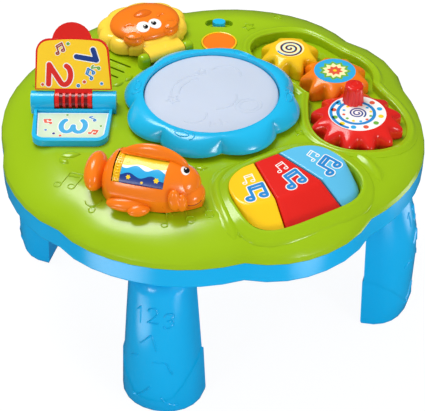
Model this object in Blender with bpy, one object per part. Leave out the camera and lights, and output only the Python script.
"""Musical activity table for babies: a scalloped table top on four plug-in legs.

Sizes are in metres, +Z is up, and the origin is on the floor under the table's axis.
The piano keys face -Y. The lion lid is at the back, the gears are on the right.
"""

import math

import bmesh
import bpy
from mathutils import Matrix, Vector

# Fits and walls shared by every piece
SEAT_GAP = 0.0003
RUNNING_GAP = 0.0006
WALL = 0.0025
OVERRUN = 0.004
WELD = 0.0005
FINE_STEPS = 36
ROUND_STEPS = 28
SMALL_STEPS = 12

# Table body
TABLE_RADIUS = 0.1960
NOTCH_DEPTH = 0.0118
NOTCH_DEPTH_SHARES = (0.38, 1.0, 0.83, 0.55, 0.70, 1.0, 0.60, 0.50)
NOTCH_DEGREES = (-162.0, -111.0, -72.5, -13.5, 14.0, 69.0, 111.0, 161.0)
NOTCH_DEGREES_BEFORE = (12.0, 36.0, 18.0, 45.0, 14.0, 46.0, 18.0, 40.0)
NOTCH_DEGREES_AFTER = (12.0, 18.0, 34.0, 13.0, 22.0, 18.0, 36.0, 18.0)
AXIS_DEGREES = (-180.0, -90.0, 0.0, 90.0, 180.0)
RIM_STEP_DEGREES = 5.6
BASE_BOTTOM_Z = 0.155
BAND_HEIGHT = 0.020
TOP_HEIGHT = 0.024
SHOULDER_RUN = 0.046
SHOULDER_SHARES = ((0.0, 0.0), (0.025, 0.19), (0.115, 0.41), (0.29, 0.60), (0.54, 0.80), (0.78, 0.93),
                   (1.0, 1.0))
SHOULDER_FADE_SHARE = 0.35
PLINTH_HEIGHT = 0.004
PLINTH_WIDTH = 0.011
BASE_ROUND = 0.0018
LIP_WALL = 0.0015
LIP_HEIGHT = 0.003
SEAM_Z = BASE_BOTTOM_Z + BAND_HEIGHT
DECK_Z = SEAM_Z + TOP_HEIGHT
DECK_UNDER_Z = DECK_Z - WALL
PLINTH_Z = DECK_Z + PLINTH_HEIGHT
FLOOR_Z = BASE_BOTTOM_Z + WALL

# Legs
LEG_AZIMUTHS = {
    "leg_front_left": math.radians(-135),
    "leg_front_right": math.radians(-45),
    "leg_rear_right": math.radians(45),
    "leg_rear_left": math.radians(135),
}
LEG_INSET = 0.037
LEG_CHORD_RADIUS = TABLE_RADIUS - LEG_INSET
LEG_HALF_WIDTH = 0.037
LEG_DEPTH = 0.0430
LEG_LEAN = 0.006
LEG_ARC_STEPS = 12
LEG_FULLNESS = 0.85
LEG_FOOT_ROUND = 0.004
LEG_HOLLOW_SHARES = (0.02, 0.16, 0.31, 0.47, 0.62, 0.75, 0.87)
BOOT_STEP = 0.0012
BOOT_SIDE_HEIGHT = 0.054
BOOT_FRONT_HEIGHT = 0.016
BOOT_WAVE = 0.003
BOOT_EDGE = 0.0012
BOOT_WAVES = 3
LEG_WIDTH_SHARES = ((0.0, 1.0), (0.25, 0.96), (0.55, 0.87), (0.85, 0.79), (1.0, 0.77))
LEG_DEPTH_SHARES = ((0.0, 0.83), (0.15, 0.95), (0.38, 1.0), (0.62, 0.97), (0.85, 0.82), (1.0, 0.70))
LEG_UPPER_SHARES = (0.47, 0.62, 0.75, 0.87, 1.0)
PLUG_HALF_WIDTH = 0.020
PLUG_DEPTH = 0.016
PLUG_SETBACK = 0.005
PLUG_HEIGHT = 0.0115
SOCKET_CEILING = 0.0015

# Case screws and their bosses
SCREW_INSET = 0.031
SCREW_CIRCLE_RADIUS = TABLE_RADIUS - SCREW_INSET
SCREW_COUNT = 6
SCREW_HEAD_RADIUS = 0.0028
SCREW_HEAD_HEIGHT = 0.002
SCREW_SHANK_RADIUS = 0.0014
SCREW_LENGTH = 0.016
SCREW_SINK = 0.0015
SCREW_STEPS = 10
SCREW_FACE_SHARE = 0.8
BOSS_RADIUS = 0.0048
BASE_BOSS_HEIGHT = 0.007

# Battery compartment
BATTERY_RADIUS = 0.0072
BATTERY_LENGTH = 0.050
BATTERY_COUNT = 3
BATTERY_PITCH = 0.0150
BATTERY_NUB_RADIUS = 0.0027
BATTERY_NUB_HEIGHT = 0.0015
BATTERY_CLEARANCE = 0.0006
CONTACT_THICKNESS = 0.0006
DOOR_THICKNESS = 0.0022
DOOR_LEDGE = 0.003
DOOR_SCREW_REACH = 0.011
DOOR_SCREW_INSET = 0.0055
DOOR_SCREW_LENGTH = 0.008
DOOR_RIB_HEIGHT = 0.0012
DOOR_RIB_COUNT = 3

# Electronics
BOARD_LENGTH = 0.100
BOARD_WIDTH = 0.062
BOARD_THICKNESS = 0.0016
LAMP_RADIUS = 0.0026
LAMP_HEIGHT = 0.007
LAMP_RING_RADIUS = 0.022
LAMP_COUNT = 3
LAMP_SECTION_SHARES = ((1.0, 0.0), (1.0, 0.6), (0.7, 0.9))
SPEAKER_RADIUS = 0.025
SPEAKER_MAGNET_RADIUS = 0.014
SPEAKER_HEIGHT = 0.015
SPEAKER_FLANGE = 0.002
SPEAKER_BASKET_SHARE = 0.85
SPEAKER_CONE_SHARE = 0.9
SPEAKER_CAP_SHARE = 0.4
SPEAKER_AZIMUTH = math.radians(119.3)
SPEAKER_INSET = 0.0845
SLOT_COUNT = 4
SLOT_LENGTH = 0.027
SLOT_WIDTH = 0.0022
SLOT_PITCH = 0.0100
SLOT_BEARING = math.radians(117)

# Drum
DRUM_RADIUS = 0.0586
DRUM_TOP_Z = 0.2146
DRUM_DOME = 0.0012
DRUM_DOME_SHARES = (0.5, 0.75)
DRUM_WALL = 0.002
DRUM_FLANGE = 0.002
DRUM_FLANGE_HEIGHT = 0.0025
DRUM_TRAVEL = 0.0025
PLUNGER_RADIUS = 0.004
DOME_RADIUS = 0.006
DOME_HEIGHT = 0.003
DOME_TOP_SHARE = 0.6
DOME_RIM_SHARE = 0.25
BEZEL_WIDTH = 0.0222
BEZEL_OUTER_RADIUS = DRUM_RADIUS + BEZEL_WIDTH
BEZEL_NOTCH_DEPTH = 0.0065
BEZEL_LOBES = 8
BEZEL_STEPS = 64
BEZEL_HEIGHT = 0.0140
BEZEL_SIDE_HEIGHT = 0.0045
BEZEL_CROWN = 0.004
BEZEL_EDGE = 0.001
BEZEL_SLOPE_SHARES = ((0.42, 0.84), (0.78, 0.44), (1.0, 0.0))
BEZEL_LOBE_POWER = 0.8

# Piano keys: lateral places are measured across the bearing, outward ones along it
KEY_BEARING = math.radians(-88)
WELL_HALF_WIDTH = 0.0560
KEYS_BACK_GAP = 0.0117
KEYS_BACK = BEZEL_OUTER_RADIUS + KEYS_BACK_GAP
KEYS_FRONT_INSET = 0.0255
KEYS_FRONT = TABLE_RADIUS - KEYS_FRONT_INSET
KEYS_TAPER = 0.10
KEYS_ROUNDNESS = 2.9
KEYS_STEPS = 40
KEY_UNDER_Z = 0.1835
KEY_TOP_Z = 0.2050
KEY_APEX = 0.0425
KEY_HALF_ANGLE = math.radians(12.2)
KEY_SPLIT_GAP = 0.0010
KEY_SPLIT_SHIFT = 0.0030
KEY_WELL_GAP = 0.0014
KEY_WELL_FLOOR_Z = 0.1785
KEY_FRONT_SLOPE = 0.020
KEY_SIDE_SLOPE = 0.0035
KEY_PIN_RADIUS = 0.0015
KEY_PIN_SETBACK = 0.0055
KEY_PIN_RISE = 0.0045
KEY_DOME_RADIUS = 0.005
KEY_DOME_HEIGHT = 0.0017
KEY_DOME_SETBACK = 0.0235
KEY_DOME_SPREAD = 0.033
KEY_HEIGHT_SHARES = (0.0, 0.22, 0.45, 0.68, 0.85, 0.95, 1.0)
KEY_FRONT_SHARES = (0.05, 0.0, 0.07, 0.24, 0.50, 0.76, 1.0)
KEY_SIDE_SHARES = (0.15, 0.0, 0.02, 0.10, 0.30, 0.62, 1.0)
COLLAR_WIDTH = 0.007
COLLAR_HEIGHT = 0.0022

# Gears: pitch sizes follow the module, so that the teeth keep meshing
GEAR_MODULE = 0.0064
GEAR_TEETH = {"red": 12, "orange": 9, "yellow": 8}
RED_GEAR_INSET = 0.06427
RED_GEAR_AZIMUTH = math.radians(-38.217)
ORANGE_BEARING = math.radians(74)
YELLOW_BEARING = math.radians(108)
TOOTH_HEIGHT = 0.0042
TOOTH_CLEARANCE = 0.0005
GEAR_THICKNESS = 0.0178
GEAR_FLOOR_Z = 0.1890
GEAR_LIFT = 0.0005
GEAR_POINTS_PER_TOOTH = 6
GEAR_SECTION_SHARES = ((0.0, 1.0, 1.0), (0.37, 1.0, 1.0), (0.56, 0.965, 0.93), (0.75, 0.88, 0.55),
                       (0.90, 0.76, 0.12), (1.0, 0.62, 0.0))
AXLE_RADIUS = 0.0035
AXLE_REACH = 0.012
AXLE_FLANGE_RADIUS = 0.007
AXLE_FLANGE_HEIGHT = 0.0015
POCKET_CLEARANCE = 0.0014
POCKET_STEPS = 48
POCKET_SMOOTHING = 2
POCKET_BAYS = (
    (-0.0035, 0.1335, 0.0260),
    (0.0095, 0.1195, 0.0360),
    (0.0215, 0.0715, 0.0385),
    (0.0035, 0.0015, 0.0450),
)
KNOB_RADIUS = 0.0074
KNOB_HEIGHT = 0.0205
KNOB_CRANK_RADIUS = 0.0185
KNOB_BEARING = math.radians(68)
KNOB_FLUTES = 10
KNOB_FLUTE_DEPTH = 0.0005
KNOB_SPIGOT_RADIUS = 0.0028
KNOB_SPIGOT_LENGTH = 0.006
KNOB_SECTION_SHARES = ((0.0, 1.0, 0.0), (0.08, 1.0, 1.0), (0.70, 0.86, 1.0), (0.86, 0.83, 0.0),
                       (0.96, 0.79, 0.0), (1.0, 0.66, 0.0))

# Book
BOOK_AZIMUTH = math.radians(151.2)
BOOK_BEARING = math.radians(-30)
BOOK_INSET = 0.0720
BOOK_AXIS_RISE = 0.0094
KNUCKLE_RADIUS = 0.0084
BARREL_LENGTH = 0.0765
RIB_BARREL_LENGTH = 0.0335
RIB_BARREL_RADIUS = 0.0082
RIB_COUNT = 5
RIB_DEPTH = 0.0012
RIB_GROOVE_SHARE = 0.6
BOOK_PIN_RADIUS = 0.0018
TRAY_WIDTH = 0.0665
TRAY_BACK_WIDTH = 0.0715
TRAY_REACH = 0.0560
TRAY_HEIGHT = 0.0062
TRAY_CORNER = 0.011
TRAY_RIM = 0.0032
TRAY_FRONT_RIM = 0.0048
TRAY_RECESS = 0.0030
PAGE_WIDTH = 0.069
PAGE_TOP_WIDTH = 0.064
PAGE_START = 0.0102
PAGE_LENGTH = 0.0565
PAGE_CORNER = 0.012
PAGE_THICKNESS = 0.0036
PAGE_PANEL_INSET = 0.0022
PAGE_PANEL_DEPTH = 0.0005
TAB_RADIUS = 0.0180
TAB_REACH = 0.0150
TAB_THICKNESS = 0.0026
PAGE_REST_ANGLE = math.radians(110)
CORNER_STEPS = 6

# Lion lid
LION_HINGE_RISE = 0.0072
LION_HINGE_GAP = 0.0067
LION_HINGE_Y = BEZEL_OUTER_RADIUS + LION_HINGE_GAP
LION_HINGE_REACH = 0.0475
LION_CENTRE_Y = LION_HINGE_Y + LION_HINGE_REACH
MANE_HALF_WIDTH = 0.0455
MANE_HALF_DEPTH = 0.0395
MANE_THICKNESS = 0.0148
MANE_LIFT = 0.0008
MANE_LOBES = 10
MANE_LOBE_DEPTH = 0.0016
MANE_STEPS = 60
MANE_ROUND = 0.005
MANE_UNDER_SHARE = 0.4
MANE_SHOULDER_SHARE = 0.3
NECK_HALF_WIDTH = 0.0185
NECK_DROP = 0.0042
NECK_HEIGHT = 0.0095
LION_BARREL_RADIUS = 0.0052
LION_PIN_RADIUS = 0.0015
POST_WIDTH = 0.0075
POST_RADIUS = 0.0050
FACE_HALF_WIDTH = 0.0345
FACE_HALF_DEPTH = 0.0290
FACE_HEIGHT = 0.0115
FACE_SHIFT = -0.0050
FACE_STEPS = 36
FACE_DOME_SHARES = ((0.0, 0.97), (0.12, 1.0), (0.40, 0.95), (0.66, 0.80), (0.85, 0.58), (0.96, 0.32))
EAR_SPREAD = 0.0208
EAR_SETBACK = 0.0200
EAR_SIZE = (0.0085, 0.0080, 0.0075)
NOSE_SIZE = (0.0075, 0.0060, 0.0030)
NOSE_SHIFT = 0.006
NOSE_RISE_SHARE = 0.9

# Fish: local x runs from tail to nose, local y towards the drum, z from the deck
FISH_AZIMUTH = math.radians(-135)
FISH_INSET = 0.065
FISH_LENGTH = 0.091
FISH_TAIL_ROOT_X = -0.060
FISH_HALF_WIDTH = 0.0262
FISH_HEIGHT = 0.0388
FISH_WAIST_RISE = 0.0138
FISH_BASE_SHARE = 0.93
FISH_STEPS = 14
FISH_BODY_SHARES = ((0.0, 0.33, 0.42), (0.05, 0.56, 0.66), (0.14, 0.84, 0.88), (0.28, 0.98, 0.985),
                    (0.50, 1.0, 1.0), (0.66, 0.97, 0.985), (0.77, 0.80, 0.86), (0.87, 0.58, 0.64),
                    (0.95, 0.38, 0.44), (1.0, 0.20, 0.32))
TAIL_X = -0.0645
TAIL_RISE = 0.0112
TAIL_SIZE = (0.0090, 0.0210, 0.0138)
FIN_START_X = -0.042
FIN_END_X = 0.0085
FIN_RISE = 0.0105
FIN_THICKNESS = 0.0055
FIN_STEPS = 10
FIN_ROOT_SHARE = 0.75
FIN_SIDE_SHARE = 0.75
FIN_CREST_SHARE = 0.45
FIN_ARCH_POWER = 0.6
CHEEK_X = 0.0130
CHEEK_Y = 0.0150
CHEEK_RISE = 0.0110
CHEEK_SIZE = (0.0060, 0.0060, 0.0105)
BELLY_FIN_PLACES_X = (-0.0365, -0.0195)
BELLY_FIN_Y = 0.0250
BELLY_FIN_RISE = 0.0045
BELLY_FIN_SIZE = (0.0095, 0.0060, 0.0068)
ROLLER_RADIUS = 0.0236
ROLLER_START_X = -0.0435
ROLLER_END_X = 0.0005
ROLLER_RING_LENGTH = 0.0062
ROLLER_RING_DROP = 0.0007
ROLLER_RIDGES = 24
ROLLER_RIDGE_HEIGHT = 0.0005
ROLLER_AXLE_RADIUS = 0.0022
ROLLER_AXLE_REACH = 0.005
WINDOW_TOP_Y = -0.0042
WINDOW_SILL_RISE = 0.0270
SPHERE_SEGMENTS = 12
SPHERE_RINGS = 6

# Badge and switch
BADGE_AZIMUTH = math.radians(56.4)
BADGE_INSET = 0.0920
BADGE_RADIUS = 0.0172
BADGE_RIM_WIDTH = 0.0016
BADGE_RIM_HEIGHT = 0.0022
BADGE_HEIGHT = 0.0016
BADGE_SINK = 0.0008
BADGE_EDGE_SHARE = 0.8
SWITCH_AZIMUTH = math.radians(57.4)
SWITCH_INSET = 0.0585
SWITCH_RECESS_LENGTH = 0.0275
SWITCH_RECESS_WIDTH = 0.0120
SWITCH_RECESS_DEPTH = 0.0050
SWITCH_KNOB_LENGTH = 0.0125
SWITCH_KNOB_WIDTH = 0.0090
SWITCH_KNOB_HEIGHT = 0.0070
SWITCH_STEM_SIZE = 0.0036
SWITCH_TRAVEL = 0.0060
SWITCH_BODY_LENGTH = 0.0200
SWITCH_BODY_WIDTH = 0.0100
SWITCH_BODY_HEIGHT = 0.0080

COLOURS = {
    "lime": ("A3CF12", 0.28),
    "blue": ("10A6EA", 0.28),
    "ring_blue": ("3DB4E6", 0.26),
    "skin": ("DDE2F3", 0.35),
    "red": ("E02418", 0.25),
    "orange": ("F57A10", 0.27),
    "yellow": ("FFCB12", 0.27),
    "key_blue": ("5EBBE6", 0.27),
    "grey": ("8A8F94", 0.5),
    "board": ("1F6B3A", 0.5),
    "black": ("202225", 0.5),
    "clear": ("E8F0F4", 0.15),
    "silicone": ("D8D8D2", 0.7),
}
METALS = {"steel": ("B9BCC0", 0.3), "cell": ("3C4A5A", 0.35)}


def remove_everything():
    for item in list(bpy.data.objects):
        bpy.data.objects.remove(item, do_unlink=True)


def linear(value):
    return value / 12.92 if value <= 0.04045 else ((value + 0.055) / 1.055) ** 2.4


def material(name):
    found = bpy.data.materials.get(name)
    if found:
        return found
    metallic = name in METALS
    code, roughness = METALS[name] if metallic else COLOURS[name]
    channels = [linear(int(code[i:i + 2], 16) / 255) for i in (0, 2, 4)]
    made = bpy.data.materials.new(name)
    made.use_nodes = True
    shader = made.node_tree.nodes["Principled BSDF"]
    shader.inputs["Base Color"].default_value = (*channels, 1.0)
    shader.inputs["Roughness"].default_value = roughness
    shader.inputs["Metallic"].default_value = float(metallic)
    made.diffuse_color = (*channels, 1.0)
    return made


def polar(radius, azimuth, height=0.0):
    return Vector((radius * math.cos(azimuth), radius * math.sin(azimuth), height))


def to_object(name, shape, place=None, turn=0.0):
    """Turn a bmesh into a scene object at a place, turned about the vertical."""
    bmesh.ops.recalc_face_normals(shape, faces=shape.faces)
    mesh = bpy.data.meshes.new(name)
    shape.to_mesh(mesh)
    shape.free()
    made = bpy.data.objects.new(name, mesh)
    bpy.context.collection.objects.link(made)
    made.location = place if place else (0.0, 0.0, 0.0)
    made.rotation_euler = (0.0, 0.0, turn)
    return made


def finish(item, colour, sharp=math.radians(35)):
    """Give the finished piece its one material and its smooth shading."""
    item.data.materials.clear()
    item.data.materials.append(material(colour))
    for face in item.data.polygons:
        face.material_index = 0
    item.data.shade_smooth()
    item.data.set_sharp_from_angle(angle=sharp)
    return item


def loft(sections, closed=False):
    """Skin a run of rings with equal point counts; open runs get end faces."""
    shape = bmesh.new()
    rings = [[shape.verts.new(point) for point in section] for section in sections]
    pairs = list(zip(rings, rings[1:]))
    if closed:
        pairs.append((rings[-1], rings[0]))
    for lower, upper in pairs:
        for i in range(len(lower)):
            shape.faces.new((lower[i - 1], lower[i], upper[i], upper[i - 1]))
    if not closed:
        shape.faces.new(rings[0])
        shape.faces.new(rings[-1])
    return shape


def prism(outline, low, high):
    """Extrude a flat outline between two heights."""
    shape = bmesh.new()
    base = shape.faces.new([shape.verts.new((x, y, low)) for x, y in outline])
    grown = bmesh.ops.extrude_face_region(shape, geom=[base])
    lifted = [item for item in grown["geom"] if isinstance(item, bmesh.types.BMVert)]
    bmesh.ops.translate(shape, verts=lifted, vec=(0.0, 0.0, high - low))
    return shape


def block(size_x, size_y, low, high, centre=(0.0, 0.0)):
    half_x, half_y = size_x / 2, size_y / 2
    corners = ((-half_x, -half_y), (half_x, -half_y), (half_x, half_y), (-half_x, half_y))
    return prism([(centre[0] + x, centre[1] + y) for x, y in corners], low, high)


def circle(radius, steps=ROUND_STEPS, centre=(0.0, 0.0)):
    angles = [math.tau * i / steps for i in range(steps)]
    return [(centre[0] + radius * math.cos(a), centre[1] + radius * math.sin(a)) for a in angles]


def stadium(length, width, steps=SMALL_STEPS):
    """Outline of a slot with round ends, along x."""
    half = width / 2
    reach = length / 2 - half
    points = []
    for side in (1, -1):
        for i in range(steps // 2 + 1):
            angle = -side * math.pi / 2 + math.pi * i / (steps // 2)
            points.append((side * reach + half * math.cos(angle), half * math.sin(angle)))
    return points


def rounded_outline(corners, radii, steps=CORNER_STEPS):
    """Polygon with an arc of its own radius at every corner."""
    points = []
    count = len(corners)
    for i in range(count):
        here = Vector(corners[i])
        before = (Vector(corners[i - 1]) - here).normalized()
        after = (Vector(corners[(i + 1) % count]) - here).normalized()
        radius = radii[i]
        if radius == 0.0:
            points.append(tuple(here))
            continue
        half = before.angle(after) / 2
        reach = radius / math.tan(half)
        middle = here + (before + after).normalized() * (radius / math.sin(half))
        start = here + before * reach - middle
        sweep = (here + after * reach - middle).angle_signed(start)
        for k in range(steps + 1):
            turned = Matrix.Rotation(sweep * k / steps, 2) @ start
            points.append(tuple(middle + turned))
    return points


def turned(profile, steps=ROUND_STEPS):
    """Spin an outline of (radius, height) points about the vertical axis."""
    shape = bmesh.new()
    corners = [shape.verts.new((radius, 0.0, height)) for radius, height in profile]
    edges = [shape.edges.new(pair) for pair in zip(corners, corners[1:])]
    if profile[0][0] > 0.0 or profile[-1][0] > 0.0:
        edges.append(shape.edges.new((corners[-1], corners[0])))
    bmesh.ops.spin(shape, geom=corners + edges, axis=(0, 0, 1), cent=(0, 0, 0), dvec=(0, 0, 0),
                   angle=math.tau, steps=steps, use_merge=True, use_duplicate=False)
    bmesh.ops.remove_doubles(shape, verts=shape.verts, dist=WELD / 100)
    return shape


def rod(radius, low, high, steps=SMALL_STEPS, centre=(0.0, 0.0)):
    return prism(circle(radius, steps, centre), low, high)


def ball(size, centre):
    """Egg-shaped swelling with its own half sizes."""
    shape = bmesh.new()
    bmesh.ops.create_uvsphere(shape, u_segments=SPHERE_SEGMENTS, v_segments=SPHERE_RINGS, radius=1.0)
    bmesh.ops.scale(shape, vec=size, verts=shape.verts)
    bmesh.ops.translate(shape, vec=centre, verts=shape.verts)
    return shape


def lay_along_x(shape, centre=(0.0, 0.0, 0.0)):
    """Lay a shape made about the vertical so that its top points along +x."""
    bmesh.ops.rotate(shape, verts=shape.verts, cent=(0, 0, 0), matrix=Matrix.Rotation(math.pi / 2, 3, "Y"))
    bmesh.ops.translate(shape, verts=shape.verts, vec=centre)
    return shape


def combine(target, operation, tools):
    """Apply booleans one after the other and drop the tools."""
    for tool in tools:
        step = target.modifiers.new(operation, "BOOLEAN")
        step.operation = operation
        step.solver = "EXACT"
        step.object = tool
    bpy.context.view_layer.update()
    graph = bpy.context.evaluated_depsgraph_get()
    result = bpy.data.meshes.new_from_object(target.evaluated_get(graph))
    target.modifiers.clear()
    shape = bmesh.new()
    shape.from_mesh(result)
    bmesh.ops.remove_doubles(shape, verts=shape.verts, dist=WELD / 50)
    bmesh.ops.dissolve_degenerate(shape, edges=shape.edges, dist=WELD / 50)
    shape.to_mesh(result)
    shape.free()
    target.data = result
    for tool in tools:
        bpy.data.objects.remove(tool, do_unlink=True)
    return target


def union(target, shapes, place=None, turn=0.0):
    return combine(target, "UNION", [to_object("tool", shape, place, turn) for shape in shapes])


def subtract(target, shapes, place=None, turn=0.0):
    return combine(target, "DIFFERENCE", [to_object("tool", shape, place, turn) for shape in shapes])


# Table outline and surface

def lobe_angles():
    """Azimuths round the table, with one on each notch and on each axis."""
    marks = sorted(set(NOTCH_DEGREES + AXIS_DEGREES))
    angles = []
    for start, end in zip(marks, marks[1:]):
        steps = max(round((end - start) / RIM_STEP_DEGREES), 2)
        angles += [math.radians(start + (end - start) * i / steps) for i in range(steps)]
    return angles


def table_radius(azimuth):
    """Scalloped rim: full radius on the lobes, drawn in at the notches."""
    drawn_in = 0.0
    sides = zip(NOTCH_DEGREES, NOTCH_DEPTH_SHARES, NOTCH_DEGREES_BEFORE, NOTCH_DEGREES_AFTER)
    for notch, share, before, after in sides:
        turn = (math.degrees(azimuth) - notch + 180) % 360 - 180
        away = abs(turn) / (after if turn > 0 else before)
        drawn_in += NOTCH_DEPTH * share * max(1 - away, 0.0) ** 2
    return TABLE_RADIUS - drawn_in


def table_ring(inset, height, lobing=1.0):
    """Ring inside the outline; with less lobing its scallops are shallower."""
    points = []
    for azimuth in lobe_angles():
        notch = TABLE_RADIUS - table_radius(azimuth)
        points.append(polar(TABLE_RADIUS - notch * lobing - inset, azimuth, height))
    return points


def shoulder_rows():
    """Inset, height over the seam and depth of scallops of every ring of the shoulder."""
    rows = []
    for run, rise in SHOULDER_SHARES:
        rows.append((SHOULDER_RUN * run, TOP_HEIGHT * rise, 1 - (1 - SHOULDER_FADE_SHARE) * run))
    return rows


def surface_height(x, y):
    """Height of the top's outer surface above the floor at a place."""
    distance = math.hypot(x, y)
    notch = TABLE_RADIUS - table_radius(math.atan2(y, x))
    rows = [(TABLE_RADIUS - notch * lobing - inset, rise) for inset, rise, lobing in shoulder_rows()]
    for (outer, low), (inner, high) in zip(rows, rows[1:]):
        if distance >= inner:
            share = min((outer - distance) / (outer - inner), 1.0)
            return SEAM_Z + low + (high - low) * max(share, 0.0)
    return DECK_Z


# Key cluster outline, in the keys' own frame

def key_outline(grow=0.0, front=0.0, side=0.0):
    """Rounded, slightly fanned outline of the key cluster."""
    back = KEYS_BACK - grow
    end = KEYS_FRONT + grow - front
    half_width = WELL_HALF_WIDTH - KEY_WELL_GAP + grow - side
    middle = (back + end) / 2
    half_depth = (end - back) / 2
    power = 2 / KEYS_ROUNDNESS
    points = []
    for i in range(KEYS_STEPS):
        angle = math.tau * i / KEYS_STEPS
        across = math.copysign(abs(math.cos(angle)) ** power, math.cos(angle))
        along = math.copysign(abs(math.sin(angle)) ** power, math.sin(angle))
        points.append((half_width * across * (1 + KEYS_TAPER * along), middle + half_depth * along))
    return points


def key_frame_turn():
    """Angle that lays the keys' +y along the key bearing."""
    return KEY_BEARING - math.pi / 2


def key_pin_place():
    return KEYS_BACK + KEY_PIN_SETBACK, KEY_UNDER_Z + KEY_PIN_RISE


def well_half_width(outward):
    """Half width of the key well at an outward distance."""
    back = KEYS_BACK - KEY_WELL_GAP
    end = KEYS_FRONT + KEY_WELL_GAP
    share = abs(outward - (back + end) / 2) / ((end - back) / 2)
    across = (1 - share ** KEYS_ROUNDNESS) ** (1 / KEYS_ROUNDNESS)
    return WELL_HALF_WIDTH * across * (1 - KEYS_TAPER * share)


# Gear train

def pitch_radius(colour):
    return GEAR_MODULE * GEAR_TEETH[colour] / 2


def gear_places():
    """Centre and tooth phase of each gear, red first, so that the teeth mesh."""
    red = polar(TABLE_RADIUS - RED_GEAR_INSET, RED_GEAR_AZIMUTH).xy
    places = {"red": (red, ORANGE_BEARING)}
    chain = (("red", "orange", ORANGE_BEARING), ("orange", "yellow", YELLOW_BEARING))
    for driver, follower, bearing in chain:
        centre, phase = places[driver]
        reach = pitch_radius(driver) + pitch_radius(follower)
        meshing = GEAR_TEETH[driver] * (bearing - phase)
        new_phase = bearing + math.pi - (math.pi - meshing) / GEAR_TEETH[follower]
        places[follower] = (centre + reach * Vector((math.cos(bearing), math.sin(bearing))), new_phase)
    return places


def pocket_outline(grow=0.0):
    """Kidney-shaped pocket round the three gears, seen from the middle gear."""
    places = gear_places()
    origin = places["orange"][0]
    discs = [(places[c][0], pitch_radius(c) + TOOTH_HEIGHT + POCKET_CLEARANCE) for c in GEAR_TEETH]
    discs += [(places["red"][0] + Vector((x, y)), radius) for x, y, radius in POCKET_BAYS]
    reaches = []
    for i in range(POCKET_STEPS):
        angle = math.tau * i / POCKET_STEPS
        ray = Vector((math.cos(angle), math.sin(angle)))
        best = 0.0
        for centre, radius in discs:
            along = ray.dot(centre - origin)
            square = along ** 2 - (centre - origin).length_squared + radius ** 2
            if square > 0.0:
                best = max(best, along + math.sqrt(square))
        reaches.append(best)
    smooth = list(reaches)
    for _ in range(POCKET_SMOOTHING):
        smooth = [max((smooth[i - 1] + smooth[(i + 1) % POCKET_STEPS]) / 2, reaches[i])
                  for i in range(POCKET_STEPS)]
    points = []
    for i, reach in enumerate(smooth):
        angle = math.tau * i / POCKET_STEPS
        points.append((origin.x + (reach + grow) * math.cos(angle),
                       origin.y + (reach + grow) * math.sin(angle)))
    return points


# Legs

def share_at(table, share):
    """Read a table of (place share, size share) rows with straight runs between them."""
    for (low, first), (high, second) in zip(table, table[1:]):
        if share <= high:
            return first + (second - first) * (share - low) / (high - low)
    return table[-1][1]


def leg_arc(half_width, depth, chord, grow=0.0):
    """D-shaped section: flat towards the table's axis, round outside."""
    points = []
    for i in range(LEG_ARC_STEPS + 1):
        angle = math.pi * (i / LEG_ARC_STEPS - 0.5)
        out = (depth + grow) * math.cos(angle) ** LEG_FULLNESS if abs(angle) < math.pi / 2 - WELD else 0.0
        points.append((chord - grow * (out == 0.0) + out, (half_width + grow) * math.sin(angle), angle))
    return points


def leg_ring(height_of, grow=0.0):
    """Ring of the leg whose height may change with the angle round the section."""
    points = []
    for i in range(LEG_ARC_STEPS + 1):
        angle = math.pi * (i / LEG_ARC_STEPS - 0.5)
        height = height_of(angle)
        share = height / BASE_BOTTOM_Z
        half_width = LEG_HALF_WIDTH * share_at(LEG_WIDTH_SHARES, share)
        depth = LEG_DEPTH * share_at(LEG_DEPTH_SHARES, share)
        x, y, _ = leg_arc(half_width, depth, LEG_CHORD_RADIUS - LEG_LEAN * share, grow)[i]
        points.append((x, y, height))
    return points


def boot_height(angle):
    """The boot's wavy top edge: high at the sides, low at the front."""
    side = math.sin(angle) ** 2
    wave = BOOT_WAVE * math.cos(2 * BOOT_WAVES * angle) * (1 - side)
    return BOOT_FRONT_HEIGHT + (BOOT_SIDE_HEIGHT - BOOT_FRONT_HEIGHT) * side + wave


def plug_ring(height, grow=0.0):
    chord = LEG_CHORD_RADIUS - LEG_LEAN + PLUG_SETBACK
    return [(x, y, height) for x, y, _ in leg_arc(PLUG_HALF_WIDTH, PLUG_DEPTH, chord, grow)]


def make_leg(name, azimuth):
    top = BASE_BOTTOM_Z - SEAT_GAP
    rings = [
        leg_ring(lambda a: 0.0, BOOT_STEP - LEG_FOOT_ROUND / 2),
        leg_ring(lambda a: LEG_FOOT_ROUND / 4, BOOT_STEP - LEG_FOOT_ROUND / 6),
        leg_ring(lambda a: LEG_FOOT_ROUND, BOOT_STEP),
        leg_ring(lambda a: boot_height(a) - BOOT_EDGE, BOOT_STEP),
        leg_ring(boot_height),
    ]
    for share in LEG_UPPER_SHARES:
        rings.append(leg_ring(lambda a, z=top * share: z))
    rings.append(plug_ring(top))
    rings.append(plug_ring(top + PLUG_HEIGHT))
    leg = to_object(name, loft(rings), turn=azimuth)
    subtract(leg, [leg_hollow(top)], turn=azimuth)
    return finish(leg, "blue")


def leg_hollow(top):
    """Inside of the moulded leg, which is open at the top of its plug."""
    rings = [leg_ring(lambda a, z=top * share: z, -WALL) for share in LEG_HOLLOW_SHARES]
    rings.append(leg_ring(lambda a: top - WALL, -WALL))
    rings.append(plug_ring(top - WALL, -WALL))
    rings.append(plug_ring(top + PLUG_HEIGHT + OVERRUN, -WALL))
    return loft(rings)


# Housing

def screw_azimuths():
    return [math.tau * i / SCREW_COUNT for i in range(SCREW_COUNT)]


def screw_places():
    return [polar(SCREW_CIRCLE_RADIUS, azimuth) for azimuth in screw_azimuths()]


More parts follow.
